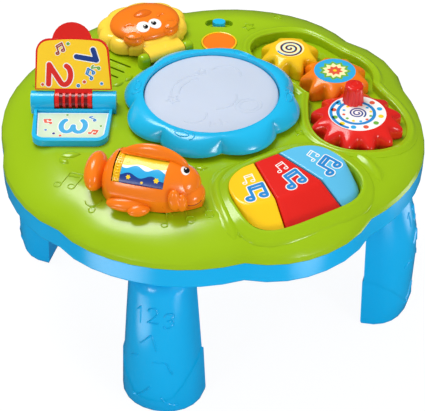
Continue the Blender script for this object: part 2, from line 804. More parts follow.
def lifted_ring(outline, turn, grow_height):
    """Outline of the keys' frame raised to the top's own surface, in world places."""
    points = []
    for x, y in outline:
        place = Matrix.Rotation(turn, 2) @ Vector((x, y))
        points.append((place.x, place.y, surface_height(place.x, place.y) + grow_height))
    return points


def collar_shape():
    """Raised lip round the key well that follows the top's surface."""
    turn = key_frame_turn()
    inner = key_outline(KEY_WELL_GAP - WELD)
    crest = key_outline(KEY_WELL_GAP + COLLAR_WIDTH / 2)
    outer = key_outline(KEY_WELL_GAP + COLLAR_WIDTH)
    return loft([
        lifted_ring(inner, turn, -WALL / 2),
        lifted_ring(inner, turn, COLLAR_HEIGHT),
        lifted_ring(crest, turn, COLLAR_HEIGHT),
        lifted_ring(outer, turn, -WALL / 4),
    ], closed=True)


def make_top_shell():
    rows = shoulder_rows()
    outer = [table_ring(0.0, SEAM_Z + SEAT_GAP)]
    outer += [table_ring(inset, SEAM_Z + rise, lobing) for inset, rise, lobing in rows[1:]]
    lip_z = SEAM_Z + LIP_HEIGHT + SEAT_GAP
    hollow = [table_ring(WALL, SEAM_Z - OVERRUN), table_ring(WALL, lip_z)]
    for inset, rise, lobing in rows[2:]:
        steep = 1 - inset / SHOULDER_RUN
        hollow.append(table_ring(inset + WALL * steep, SEAM_Z + rise - WALL, lobing))
    cavity = to_object("cavity", loft(hollow))
    low = SEAM_Z - 2 * OVERRUN
    subtract(cavity, [prism(pocket_outline(WALL), GEAR_FLOOR_Z - WALL, DECK_Z)])
    subtract(cavity, [prism(key_outline(KEY_WELL_GAP + WALL), KEY_WELL_FLOOR_Z - WALL, DECK_Z)],
             turn=key_frame_turn())
    switch_turn = SWITCH_AZIMUTH - math.pi / 2
    switch_place = polar(TABLE_RADIUS - SWITCH_INSET, SWITCH_AZIMUTH)
    switch_cup = stadium(SWITCH_RECESS_LENGTH + 2 * WALL, SWITCH_RECESS_WIDTH + 2 * WALL)
    recess_z = DECK_Z - SWITCH_RECESS_DEPTH
    subtract(cavity, [prism(switch_cup, recess_z - WALL, DECK_Z)], switch_place, switch_turn)
    for place in screw_places():
        subtract(cavity, [rod(BOSS_RADIUS + SEAT_GAP, SEAM_Z - LIP_HEIGHT, DECK_Z, SMALL_STEPS)], place)
    shell = to_object("top_shell", loft(outer))
    combine(shell, "DIFFERENCE", [cavity])
    column_z = FLOOR_Z + BASE_BOSS_HEIGHT + SEAT_GAP
    for place in screw_places():
        union(shell, [rod(BOSS_RADIUS, column_z, SEAM_Z + 2 * LIP_HEIGHT, SMALL_STEPS)], place)
        subtract(shell, [rod(SCREW_SHANK_RADIUS + SEAT_GAP, column_z - OVERRUN,
                             column_z + SCREW_LENGTH, SCREW_STEPS)], place)
    plinth_radius = DRUM_RADIUS + PLINTH_WIDTH
    union(shell, [rod(plinth_radius, DECK_UNDER_Z + WALL / 2, PLINTH_Z, FINE_STEPS)])
    union(shell, [collar_shape()])
    union(shell, lion_post_shapes())
    high = PLINTH_Z + OVERRUN
    subtract(shell, [prism(pocket_outline(), GEAR_FLOOR_Z, high)])
    subtract(shell, [prism(key_outline(KEY_WELL_GAP), KEY_WELL_FLOOR_Z, high)], turn=key_frame_turn())
    subtract(shell, [prism(circle(DRUM_RADIUS + DRUM_FLANGE + 2 * RUNNING_GAP, FINE_STEPS), low, high)])
    subtract(shell, [prism(stadium(SWITCH_RECESS_LENGTH, SWITCH_RECESS_WIDTH), recess_z, high)],
             switch_place, switch_turn)
    stem_slot = stadium(SWITCH_STEM_SIZE + 2 * SWITCH_TRAVEL + 4 * RUNNING_GAP,
                        SWITCH_STEM_SIZE + 2 * RUNNING_GAP)
    subtract(shell, [prism(stem_slot, low, high)], switch_place, switch_turn)
    subtract(shell, [rod(BADGE_RADIUS + SEAT_GAP, DECK_Z - BADGE_SINK, high, ROUND_STEPS)],
             polar(TABLE_RADIUS - BADGE_INSET, BADGE_AZIMUTH))
    speaker_place = polar(TABLE_RADIUS - SPEAKER_INSET, SPEAKER_AZIMUTH)
    for i in range(SLOT_COUNT):
        shift = (i - (SLOT_COUNT - 1) / 2) * SLOT_PITCH
        slot = [(x, y + shift) for x, y in stadium(SLOT_LENGTH, SLOT_WIDTH, SMALL_STEPS)]
        subtract(shell, [prism(slot, low, high)], speaker_place, SLOT_BEARING)
    for centre, _ in gear_places().values():
        subtract(shell, [rod(AXLE_RADIUS + SEAT_GAP, low, high)], (centre.x, centre.y, 0.0))
    cut_roller_slot(shell)
    cut_key_pin_holes(shell)
    subtract(shell, [lion_pin_hole()], (0.0, LION_HINGE_Y, DECK_Z + LION_HINGE_RISE))
    return finish(shell, "lime")


def cut_roller_slot(shell):
    """Opening in the deck that lets the fish's roller turn."""
    length = ROLLER_END_X - ROLLER_START_X + 4 * RUNNING_GAP
    rise = FISH_WAIST_RISE + WALL
    reach = ROLLER_RADIUS + 2 * RUNNING_GAP
    width = 2 * math.sqrt(reach ** 2 - (rise - WALL) ** 2) + 2 * RUNNING_GAP
    middle = (ROLLER_END_X + ROLLER_START_X) / 2
    opening = block(length, width, DECK_UNDER_Z - OVERRUN, DECK_Z + OVERRUN, (middle, 0.0))
    subtract(shell, [opening], polar(TABLE_RADIUS - FISH_INSET, FISH_AZIMUTH), FISH_AZIMUTH + math.pi / 2)


def cut_key_pin_holes(shell):
    outward, height = key_pin_place()
    reach = well_half_width(outward) + WALL - SEAT_GAP
    hole = lay_along_x(rod(KEY_PIN_RADIUS + SEAT_GAP, -reach, reach), (0.0, outward, height))
    subtract(shell, [hole], turn=key_frame_turn())


def lion_post_shapes():
    """Two upright ears that carry the lid's pin."""
    shapes = []
    axis_z = DECK_Z + LION_HINGE_RISE
    for side in (-1, 1):
        inner = side * (NECK_HALF_WIDTH + RUNNING_GAP)
        outer = side * (NECK_HALF_WIDTH + RUNNING_GAP + POST_WIDTH)
        low, high = sorted((inner, outer))
        arch = [(-POST_RADIUS, DECK_Z - WALL / 2)]
        for i in range(SMALL_STEPS // 2 + 1):
            angle = math.pi - math.pi * i / (SMALL_STEPS // 2)
            arch.append((POST_RADIUS * math.cos(angle), axis_z + POST_RADIUS * math.sin(angle)))
        arch.append((POST_RADIUS, DECK_Z - WALL / 2))
        shapes.append(loft([[(x, LION_HINGE_Y + y, z) for y, z in arch] for x in (low, high)]))
    return shapes


def lion_pin_hole():
    reach = NECK_HALF_WIDTH + RUNNING_GAP + POST_WIDTH - WALL / 2
    return lay_along_x(rod(LION_PIN_RADIUS + SEAT_GAP, -reach, reach, SCREW_STEPS))


def battery_box_size():
    """Inside length and width of the battery compartment."""
    length = BATTERY_LENGTH + BATTERY_NUB_HEIGHT + 2 * (CONTACT_THICKNESS + 2 * SEAT_GAP)
    width = BATTERY_PITCH * (BATTERY_COUNT - 1) + 2 * (BATTERY_RADIUS + BATTERY_CLEARANCE)
    return length, width


def battery_ceiling_z():
    return BASE_BOTTOM_Z + DOOR_THICKNESS + DOOR_RIB_HEIGHT + 2 * (BATTERY_RADIUS + BATTERY_CLEARANCE)


def door_outline(grow=0.0):
    """Battery door: the compartment and a ledge, with a tongue for the screw."""
    length, width = battery_box_size()
    left = -length / 2 - DOOR_LEDGE - grow
    right = length / 2 + DOOR_SCREW_REACH + grow
    half = width / 2 + DOOR_LEDGE + grow
    corners = ((left, -half), (right, -half), (right, half), (left, half))
    return rounded_outline(corners, (DOOR_LEDGE,) * 4, 4)


def door_screw_x():
    return battery_box_size()[0] / 2 + DOOR_SCREW_INSET


def make_base_shell():
    step = WALL + SEAT_GAP
    bend = BASE_ROUND * (1 - math.cos(math.pi / 4))
    outer = [
        table_ring(BASE_ROUND, BASE_BOTTOM_Z),
        table_ring(bend, BASE_BOTTOM_Z + bend),
        table_ring(0.0, BASE_BOTTOM_Z + BASE_ROUND),
        table_ring(0.0, SEAM_Z),
        table_ring(step, SEAM_Z),
        table_ring(step, SEAM_Z + LIP_HEIGHT),
    ]
    hollow = [table_ring(step + LIP_WALL, z) for z in (FLOOR_Z, SEAM_Z + LIP_HEIGHT + OVERRUN)]
    cavity = to_object("cavity", loft(hollow))
    socket_top = BASE_BOTTOM_Z + PLUG_HEIGHT + SOCKET_CEILING
    for azimuth in LEG_AZIMUTHS.values():
        subtract(cavity, [loft([plug_ring(z, WALL) for z in (BASE_BOTTOM_Z, socket_top)])], turn=azimuth)
    length, width = battery_box_size()
    box = block(length + 2 * WALL, width + 2 * WALL, BASE_BOTTOM_Z, battery_ceiling_z() + WALL)
    subtract(cavity, [box])
    door_boss = rod(BOSS_RADIUS, BASE_BOTTOM_Z, BASE_BOTTOM_Z + DOOR_THICKNESS + DOOR_SCREW_LENGTH + WALL)
    subtract(cavity, [door_boss], (door_screw_x(), 0.0, 0.0))
    door_pan = prism(door_outline(WALL), BASE_BOTTOM_Z, BASE_BOTTOM_Z + DOOR_THICKNESS + WALL)
    subtract(cavity, [door_pan])
    for place in screw_places():
        subtract(cavity, [rod(BOSS_RADIUS, BASE_BOTTOM_Z, FLOOR_Z + BASE_BOSS_HEIGHT)], place)
    shell = to_object("base_shell", loft(outer))
    combine(shell, "DIFFERENCE", [cavity])
    low = BASE_BOTTOM_Z - OVERRUN
    for azimuth in LEG_AZIMUTHS.values():
        hole = loft([plug_ring(z, SEAT_GAP) for z in (low, BASE_BOTTOM_Z + PLUG_HEIGHT)])
        subtract(shell, [hole], turn=azimuth)
    subtract(shell, [block(length, width, low, battery_ceiling_z())])
    subtract(shell, [prism(door_outline(SEAT_GAP), low, BASE_BOTTOM_Z + DOOR_THICKNESS + SEAT_GAP)])
    shank = SCREW_SHANK_RADIUS + SEAT_GAP
    subtract(shell, [rod(shank, low, BASE_BOTTOM_Z + DOOR_THICKNESS + DOOR_SCREW_LENGTH, SCREW_STEPS)],
             (door_screw_x(), 0.0, 0.0))
    head_z = BASE_BOTTOM_Z + SCREW_SINK + SCREW_HEAD_HEIGHT + SEAT_GAP
    for place in screw_places():
        subtract(shell, [rod(shank, low, FLOOR_Z + BASE_BOSS_HEIGHT + OVERRUN, SCREW_STEPS)], place)
        subtract(shell, [rod(SCREW_HEAD_RADIUS + SEAT_GAP, low, head_z, SMALL_STEPS)], place)
    return finish(shell, "blue")


def screw_shape(length):
    """Pan-head screw with its head down and its shank up from z = 0."""
    face = SCREW_HEAD_RADIUS * SCREW_FACE_SHARE
    return turned([(0.0, 0.0), (face, 0.0), (SCREW_HEAD_RADIUS, SCREW_HEAD_HEIGHT / 3),
                   (SCREW_HEAD_RADIUS, SCREW_HEAD_HEIGHT), (SCREW_SHANK_RADIUS, SCREW_HEAD_HEIGHT),
                   (SCREW_SHANK_RADIUS, length), (0.0, length)], SCREW_STEPS)


def make_case_screws():
    for i, place in enumerate(screw_places()):
        place.z = BASE_BOTTOM_Z + SCREW_SINK
        finish(to_object(f"case_screw_{i + 1}", screw_shape(SCREW_LENGTH), place), "steel")


def make_battery_door():
    top = BASE_BOTTOM_Z + DOOR_THICKNESS
    door = to_object("battery_door", prism(door_outline(), BASE_BOTTOM_Z, top))
    length, width = battery_box_size()
    pitch = width / DOOR_RIB_COUNT
    ribs = []
    for i in range(DOOR_RIB_COUNT):
        across = (i - (DOOR_RIB_COUNT - 1) / 2) * pitch
        ribs.append(block(length / 2, CONTACT_THICKNESS * 2, top - WELD, top + DOOR_RIB_HEIGHT / 2,
                          (0.0, across)))
    union(door, ribs)
    low = BASE_BOTTOM_Z - OVERRUN
    subtract(door, [rod(SCREW_SHANK_RADIUS + SEAT_GAP, low, top + OVERRUN, SCREW_STEPS)],
             (door_screw_x(), 0.0, 0.0))
    finish(door, "blue")
    screw_z = BASE_BOTTOM_Z - SCREW_HEAD_HEIGHT - SEAT_GAP
    screw = screw_shape(DOOR_SCREW_LENGTH)
    finish(to_object("battery_door_screw", screw, (door_screw_x(), 0.0, screw_z)), "steel")


def make_batteries():
    length, width = battery_box_size()
    axis_z = battery_ceiling_z() - BATTERY_RADIUS - BATTERY_CLEARANCE / 2
    half = BATTERY_LENGTH / 2
    for i in range(BATTERY_COUNT):
        across = (i - (BATTERY_COUNT - 1) / 2) * BATTERY_PITCH
        facing = 1 if i % 2 == 0 else -1
        shape = turned([(0.0, -half), (BATTERY_RADIUS, -half), (BATTERY_RADIUS, half),
                        (BATTERY_NUB_RADIUS, half), (BATTERY_NUB_RADIUS, half + BATTERY_NUB_HEIGHT),
                        (0.0, half + BATTERY_NUB_HEIGHT)], ROUND_STEPS // 2)
        bmesh.ops.translate(shape, verts=shape.verts, vec=(0.0, 0.0, -BATTERY_NUB_HEIGHT / 2))
        bmesh.ops.rotate(shape, verts=shape.verts, cent=(0, 0, 0),
                         matrix=Matrix.Rotation(facing * math.pi / 2, 3, "Y"))
        finish(to_object(f"battery_{i + 1}", shape, (0.0, across, axis_z)), "cell")
    end = length / 2 - SEAT_GAP - CONTACT_THICKNESS / 2
    top = battery_ceiling_z() - BATTERY_CLEARANCE / 2
    for name, side in (("battery_contacts_left", -1), ("battery_contacts_right", 1)):
        plate = block(CONTACT_THICKNESS, width - 2 * SEAT_GAP, top - 2 * BATTERY_RADIUS, top,
                      (side * end, 0.0))
        finish(to_object(name, plate), "steel")


def board_top_z():
    return battery_ceiling_z() + WALL + SEAT_GAP + BOARD_THICKNESS


def contact_dome(radius, height):
    """Rubber dome that closes a contact when it is pressed."""
    return turned([(0.0, 0.0), (radius, 0.0), (radius, height * DOME_RIM_SHARE),
                   (radius * DOME_TOP_SHARE, height), (0.0, height)], SMALL_STEPS)


def make_electronics():
    top = board_top_z()
    board = to_object("circuit_board", block(BOARD_LENGTH, BOARD_WIDTH, top - BOARD_THICKNESS, top))
    finish(board, "board")
    dome = contact_dome(DOME_RADIUS, DOME_HEIGHT)
    finish(to_object("drum_contact_dome", dome, (0.0, 0.0, top + SEAT_GAP)), "silicone")
    for i in range(LAMP_COUNT):
        azimuth = math.tau * i / LAMP_COUNT + math.pi / 2
        profile = [(0.0, 0.0)]
        profile += [(LAMP_RADIUS * wide, LAMP_HEIGHT * rise) for wide, rise in LAMP_SECTION_SHARES]
        lamp = turned(profile + [(0.0, LAMP_HEIGHT)], SMALL_STEPS)
        place = polar(LAMP_RING_RADIUS, azimuth, top + SEAT_GAP)
        finish(to_object(f"drum_lamp_{i + 1}", lamp, place), "clear")
    magnet = SPEAKER_MAGNET_RADIUS
    basket = SPEAKER_RADIUS * SPEAKER_BASKET_SHARE
    cone = SPEAKER_RADIUS * SPEAKER_CONE_SHARE
    cap = SPEAKER_RADIUS * SPEAKER_CAP_SHARE
    profile = [(0.0, -SPEAKER_HEIGHT), (magnet, -SPEAKER_HEIGHT), (magnet, -SPEAKER_HEIGHT / 2),
               (basket, -SPEAKER_FLANGE), (SPEAKER_RADIUS, -SPEAKER_FLANGE), (SPEAKER_RADIUS, 0.0),
               (cone, 0.0), (cap, -SPEAKER_HEIGHT / 3), (0.0, -SPEAKER_HEIGHT / 4)]
    speaker = turned(profile, ROUND_STEPS)
    place = polar(TABLE_RADIUS - SPEAKER_INSET, SPEAKER_AZIMUTH, DECK_UNDER_Z - SEAT_GAP)
    finish(to_object("speaker", speaker, place), "black")


# Drum

def bezel_outer(azimuth):
    lobe = abs(math.cos(BEZEL_LOBES * azimuth / 2)) ** BEZEL_LOBE_POWER
    return BEZEL_OUTER_RADIUS - BEZEL_NOTCH_DEPTH * (1 - lobe)


def make_bezel():
    bottom = PLINTH_Z + SEAT_GAP
    top = bottom + BEZEL_HEIGHT
    bore = DRUM_RADIUS + RUNNING_GAP
    side = bottom + BEZEL_SIDE_HEIGHT
    inner = ((bore, bottom), (bore, top - BEZEL_EDGE), (bore + BEZEL_EDGE, top), (bore + BEZEL_CROWN, top))
    sections = []
    azimuths = [math.tau * i / BEZEL_STEPS for i in range(BEZEL_STEPS)]
    for radius, height in inner:
        sections.append([polar(radius, a, height) for a in azimuths])
    crown = bore + BEZEL_CROWN
    for share, rise in BEZEL_SLOPE_SHARES:
        height = side + (top - side) * rise
        sections.append([polar(crown + (bezel_outer(a) - crown) * share, a, height) for a in azimuths])
    sections.append([polar(bezel_outer(a), a, bottom) for a in azimuths])
    return finish(to_object("drum_bezel", loft(sections, closed=True)), "ring_blue")


def make_drum_skin():
    skirt_z = PLINTH_Z - DRUM_FLANGE_HEIGHT
    inner = DRUM_RADIUS - DRUM_WALL
    outer = DRUM_RADIUS + DRUM_FLANGE
    under = DRUM_TOP_Z - DRUM_WALL
    plunger_z = board_top_z() + SEAT_GAP + DOME_HEIGHT + DRUM_TRAVEL + SEAT_GAP
    edge = DRUM_DOME
    reach, rise = DRUM_DOME_SHARES
    profile = [(0.0, DRUM_TOP_Z + DRUM_DOME), (DRUM_RADIUS * reach, DRUM_TOP_Z + DRUM_DOME * rise),
               (DRUM_RADIUS - edge, DRUM_TOP_Z), (DRUM_RADIUS, DRUM_TOP_Z - edge),
               (DRUM_RADIUS, skirt_z + DRUM_FLANGE_HEIGHT), (outer, skirt_z + DRUM_FLANGE_HEIGHT),
               (outer, skirt_z), (inner, skirt_z), (inner, under), (PLUNGER_RADIUS, under),
               (PLUNGER_RADIUS, plunger_z), (0.0, plunger_z)]
    return finish(to_object("drum_skin", turned(profile, FINE_STEPS)), "skin")


# Piano keys

def key_body():
    """The whole cluster before it is split into keys."""
    height = KEY_TOP_Z - KEY_UNDER_Z
    sections = []
    for share, front, side in zip(KEY_HEIGHT_SHARES, KEY_FRONT_SHARES, KEY_SIDE_SHARES):
        outline = key_outline(0.0, KEY_FRONT_SLOPE * front, KEY_SIDE_SLOPE * side)
        lean = KEY_SIDE_SLOPE * side / 2
        sections.append([(x, max(y, KEYS_BACK + lean), KEY_UNDER_Z + height * share) for x, y in outline])
    return loft(sections)


def split_line(side, outward, gap):
    """Sideways place of a split between keys; the middle key reaches further on its +1 side."""
    spread = (outward - KEY_APEX) * math.tan(KEY_HALF_ANGLE) + gap / math.cos(KEY_HALF_ANGLE)
    return side * (spread + KEY_SPLIT_SHIFT * (side > 0))


def key_wedge(index):
    """Prism that keeps one key of the cluster."""
    near = KEY_APEX + OVERRUN
    far = KEYS_FRONT + OVERRUN
    wide = 2 * WELL_HALF_WIDTH
    gap = KEY_SPLIT_GAP / 2
    if index == 1:
        outline = [(split_line(-1, near, -gap), near), (split_line(1, near, -gap), near),
                   (split_line(1, far, -gap), far), (split_line(-1, far, -gap), far)]
    else:
        side = index - 1
        outline = [(split_line(side, near, gap), near), (side * wide, near), (side * wide, far),
                   (split_line(side, far, gap), far)]
    return prism(outline, KEY_UNDER_Z - OVERRUN, KEY_TOP_Z + OVERRUN)


def make_keys():
    outward, height = key_pin_place()
    turn = key_frame_turn()
    axis = Matrix.Rotation(turn, 3, "Z") @ Vector((0.0, outward, height))
    # The keys' own +x points to the player's left hand
    names = (("key_left", "yellow"), ("key_middle", "red"), ("key_right", "key_blue"))
    for index, (name, colour) in enumerate(names):
        key = to_object(name, key_body())
        combine(key, "INTERSECT", [to_object("wedge", key_wedge(2 - index))])
        reach = WELL_HALF_WIDTH
        subtract(key, [lay_along_x(rod(KEY_PIN_RADIUS + SEAT_GAP, -reach, reach), (0.0, outward, height))])
        key.data.transform(Matrix.Translation((0.0, -outward, -height)))
        key.location = axis
        key.rotation_euler = (0.0, 0.0, turn)
        finish(key, colour)
    length = well_half_width(outward) + WALL - 2 * SEAT_GAP
    pin = to_object("key_hinge_pin", lay_along_x(rod(KEY_PIN_RADIUS, -length, length)), axis, turn)
    finish(pin, "steel")
    for index, (name, _) in enumerate(names):
        across = (1 - index) * KEY_DOME_SPREAD
        dome = contact_dome(KEY_DOME_RADIUS, KEY_DOME_HEIGHT)
        seat = Vector((across, KEYS_FRONT - KEY_DOME_SETBACK, KEY_WELL_FLOOR_Z + SEAT_GAP))
        place = Matrix.Rotation(turn, 3, "Z") @ seat
        finish(to_object(f"{name}_contact_dome", dome, place), "silicone")


# Gears

def gear_ring(colour, height, radius_share, tooth_share):
    teeth = GEAR_TEETH[colour]
    count = teeth * GEAR_POINTS_PER_TOOTH
    pitch = pitch_radius(colour) - TOOTH_CLEARANCE
    points = []
    for i in range(count):
        angle = math.tau * i / count
        radius = pitch * radius_share + TOOTH_HEIGHT * tooth_share * math.cos(teeth * angle)
        points.append(polar(radius, angle, height))
    return points


def make_gears():
    bottom = GEAR_FLOOR_Z + GEAR_LIFT
    for colour, (centre, phase) in gear_places().items():
        rings = [gear_ring(colour, GEAR_THICKNESS * h, r, t) for h, r, t in GEAR_SECTION_SHARES]
        gear = to_object(f"gear_{colour}", loft(rings))
        subtract(gear, [rod(AXLE_RADIUS + SEAT_GAP, -OVERRUN, AXLE_REACH + SEAT_GAP)])
        if colour == "red":
            seat = polar(KNOB_CRANK_RADIUS, KNOB_BEARING - phase)
            subtract(gear, [rod(KNOB_SPIGOT_RADIUS + SEAT_GAP, GEAR_THICKNESS - KNOB_SPIGOT_LENGTH,
                                GEAR_THICKNESS + OVERRUN)], seat)
        gear.location = (centre.x, centre.y, bottom)
        gear.rotation_euler = (0.0, 0.0, phase)
        finish(gear, colour)
        flange_z = GEAR_FLOOR_Z - WALL - SEAT_GAP
        under_z = flange_z - AXLE_FLANGE_HEIGHT
        top_z = bottom + AXLE_REACH - SEAT_GAP
        axle = turned([(0.0, under_z), (AXLE_FLANGE_RADIUS, under_z), (AXLE_FLANGE_RADIUS, flange_z),
                       (AXLE_RADIUS, flange_z), (AXLE_RADIUS, top_z), (0.0, top_z)], ROUND_STEPS // 2)
        finish(to_object(f"gear_axle_{colour}", axle, (centre.x, centre.y, 0.0)), "grey")


def make_knob():
    """Fluted crank knob that stands off the red gear's centre."""
    centre = gear_places()["red"][0]
    sections = []
    for low in (-KNOB_SPIGOT_LENGTH + SEAT_GAP, SEAT_GAP):
        sections.append([polar(KNOB_SPIGOT_RADIUS, a, low) for a in knob_angles()])
    for height, width, flute in KNOB_SECTION_SHARES:
        sections.append([polar(KNOB_RADIUS * width + KNOB_FLUTE_DEPTH * flute * math.cos(KNOB_FLUTES * a),
                               a, SEAT_GAP + KNOB_HEIGHT * height) for a in knob_angles()])
    place = Vector((centre.x, centre.y, GEAR_FLOOR_Z + GEAR_LIFT + GEAR_THICKNESS))
    place += polar(KNOB_CRANK_RADIUS, KNOB_BEARING)
    return finish(to_object("gear_knob", loft(sections), place), "red")


def knob_angles():
    count = KNOB_FLUTES * 4
    return [math.tau * i / count for i in range(count)]


# Book: local x runs along the hinge towards the table's axis, local -y to the reader

def book_axis():
    return polar(TABLE_RADIUS - BOOK_INSET, BOOK_AZIMUTH, DECK_Z + BOOK_AXIS_RISE)


def book_turn():
    return BOOK_BEARING


def tray_outline(grow=0.0):
    """Plan of the tray: square at the hinge, rounded and narrower towards the reader."""
    half = TRAY_WIDTH / 2 + grow
    wide = TRAY_BACK_WIDTH / 2 + grow
    back = KNUCKLE_RADIUS + grow
    front = -TRAY_REACH - grow
    corners = ((wide, back), (-wide, back), (-half, front), (half, front))
    return rounded_outline(corners, (0.0, 0.0, TRAY_CORNER, TRAY_CORNER))


def make_book_tray():
    base = -BOOK_AXIS_RISE + SEAT_GAP
    half = TRAY_WIDTH / 2
    tray = to_object("book_tray", prism(tray_outline(), base, base + TRAY_HEIGHT))
    knuckle_half = (BARREL_LENGTH - RIB_BARREL_LENGTH) / 4 - RUNNING_GAP / 2
    middle = RIB_BARREL_LENGTH / 2 + RUNNING_GAP + knuckle_half
    knuckles = []
    for side in (-1, 1):
        low = side * middle - knuckle_half
        high = side * middle + knuckle_half
        arch = [(KNUCKLE_RADIUS, base)]
        for i in range(SMALL_STEPS + 1):
            angle = math.pi * i / SMALL_STEPS
            arch.append((KNUCKLE_RADIUS * math.cos(angle), KNUCKLE_RADIUS * math.sin(angle)))
        arch.append((-KNUCKLE_RADIUS, base))
        knuckles.append(loft([[(x, y, z) for y, z in arch] for x in (low, high)]))
    union(tray, knuckles)
    gap = RIB_BARREL_RADIUS + 2 * RUNNING_GAP
    notch = block(RIB_BARREL_LENGTH + 2 * RUNNING_GAP, 2 * gap, base - OVERRUN, KNUCKLE_RADIUS + OVERRUN)
    floor_z = base + TRAY_HEIGHT - TRAY_RECESS
    inner = half - TRAY_RIM
    near = -KNUCKLE_RADIUS - RUNNING_GAP - TRAY_RIM / 2
    far = -TRAY_REACH + TRAY_FRONT_RIM
    wide = TRAY_BACK_WIDTH / 2 - TRAY_RIM
    corners = ((wide, near), (-wide, near), (-inner, far), (inner, far))
    radius = TRAY_CORNER - TRAY_RIM
    panel = rounded_outline(corners, (0.0, 0.0, radius, radius))
    recess = prism(panel, floor_z, base + TRAY_HEIGHT + OVERRUN)
    bore = lay_along_x(rod(BOOK_PIN_RADIUS + SEAT_GAP, -pin_half() - SEAT_GAP, pin_half() + SEAT_GAP))
    subtract(tray, [notch, recess, bore])
    tray.location = book_axis()
    tray.rotation_euler = (0.0, 0.0, book_turn())
    return finish(tray, "ring_blue")


def pin_half():
    """Half length of the book's hinge pin."""
    return BARREL_LENGTH / 2 - WALL


def ribbed_barrel():
    """Centre knuckle with grooves round it."""
    half = RIB_BARREL_LENGTH / 2
    pitch = RIB_BARREL_LENGTH / (RIB_COUNT + 1)
    inner = RIB_BARREL_RADIUS - RIB_DEPTH
    profile = [(0.0, -half), (RIB_BARREL_RADIUS, -half)]
    for i in range(RIB_COUNT):
        centre = (i - (RIB_COUNT - 1) / 2) * pitch
        low = centre - pitch * RIB_GROOVE_SHARE / 2
        high = centre + pitch * RIB_GROOVE_SHARE / 2
        profile += [(RIB_BARREL_RADIUS, low), (inner, low), (inner, high), (RIB_BARREL_RADIUS, high)]
    profile += [(RIB_BARREL_RADIUS, half), (0.0, half)]
    return lay_along_x(turned(profile, SMALL_STEPS))


def make_book_page():
    """The page is drawn lying forwards on the tray and is then leant back."""
    half = PAGE_WIDTH / 2
    top = PAGE_TOP_WIDTH / 2
    thick = PAGE_THICKNESS / 2
    corners = ((half, -PAGE_START), (top, -PAGE_LENGTH), (-top, -PAGE_LENGTH), (-half, -PAGE_START))
    outline = rounded_outline(corners, (0.0, PAGE_CORNER, PAGE_CORNER, 0.0))
    page = to_object("book_page", prism(outline, -thick, thick))
    tab_thick = TAB_THICKNESS / 2
    tab_y = -PAGE_LENGTH - TAB_REACH + TAB_RADIUS
    tab = rod(TAB_RADIUS, -tab_thick, tab_thick, ROUND_STEPS, (0.0, tab_y))
    neck = block(RIB_BARREL_LENGTH, PAGE_START + PAGE_CORNER / 2, -thick, thick,
                 (0.0, -(PAGE_START + PAGE_CORNER / 2) / 2))
    union(page, [tab, neck, ribbed_barrel()])
    inset = PAGE_PANEL_INSET
    panel_corners = ((half - inset, -PAGE_START - inset), (top - inset, -PAGE_LENGTH + inset),
                     (-top + inset, -PAGE_LENGTH + inset), (-half + inset, -PAGE_START - inset))
    radius = PAGE_CORNER - inset
    panel = rounded_outline(panel_corners, (0.0, radius, radius, 0.0))
    depth = thick - PAGE_PANEL_DEPTH
    recesses = [prism(panel, depth, depth + OVERRUN), prism(panel, -depth - OVERRUN, -depth)]
    reach = RIB_BARREL_LENGTH
    bore = lay_along_x(rod(BOOK_PIN_RADIUS + SEAT_GAP, -reach, reach))
    subtract(page, recesses + [bore])
    page.data.transform(Matrix.Rotation(-PAGE_REST_ANGLE, 4, "X"))
    page.location = book_axis()
    page.rotation_euler = (0.0, 0.0, book_turn())
    finish(page, "red")
    pin = to_object("book_hinge_pin", lay_along_x(rod(BOOK_PIN_RADIUS, -pin_half(), pin_half())),
                    book_axis(), book_turn())
    return finish(pin, "steel")


# Lion lid: the pieces are drawn from the hinge axis

def lion_axis():
    return Vector((0.0, LION_HINGE_Y, DECK_Z + LION_HINGE_RISE))


def mane_ring(height, inset):
    points = []
    centre = LION_CENTRE_Y - LION_HINGE_Y
    for i in range(MANE_STEPS):
        angle = math.tau * i / MANE_STEPS
        lobe = MANE_LOBE_DEPTH * (abs(math.cos(MANE_LOBES * angle / 2)) - 1)
        x = (MANE_HALF_WIDTH + lobe - inset) * math.cos(angle)
        y = centre + (MANE_HALF_DEPTH + lobe - inset) * math.sin(angle)
        points.append((x, y, height))
    return points


def mane_top():
    """Height of the mane's top over the hinge axis."""
    return MANE_LIFT + MANE_THICKNESS - LION_HINGE_RISE


def make_lion():
    low = MANE_LIFT - LION_HINGE_RISE
    high = mane_top()
    under = MANE_ROUND * MANE_UNDER_SHARE
    shoulder = MANE_ROUND * MANE_SHOULDER_SHARE
    rings = [mane_ring(low, under), mane_ring(low + under, 0.0), mane_ring(high - MANE_ROUND, 0.0),
             mane_ring(high - shoulder, shoulder), mane_ring(high, MANE_ROUND)]
    mane = to_object("lion_mane", loft(rings))
    reach = LION_CENTRE_Y - LION_HINGE_Y - MANE_HALF_DEPTH / 2
    neck = block(2 * NECK_HALF_WIDTH, reach, -NECK_DROP, -NECK_DROP + NECK_HEIGHT, (0.0, reach / 2))
    barrel = lay_along_x(rod(LION_BARREL_RADIUS, -NECK_HALF_WIDTH, NECK_HALF_WIDTH, ROUND_STEPS // 2))
    union(mane, [neck, barrel])
    clear = 2 * NECK_HALF_WIDTH
    hole = lay_along_x(rod(LION_PIN_RADIUS + SEAT_GAP, -clear, clear, SCREW_STEPS))
    subtract(mane, [hole])
    mane.location = lion_axis()
    finish(mane, "yellow")
    finish_lion_face()
    length = NECK_HALF_WIDTH + RUNNING_GAP + POST_WIDTH - WALL / 2 - SEAT_GAP
    pin = lay_along_x(rod(LION_PIN_RADIUS, -length, length, SCREW_STEPS))
    finish(to_object("lion_hinge_pin", pin, lion_axis()), "steel")


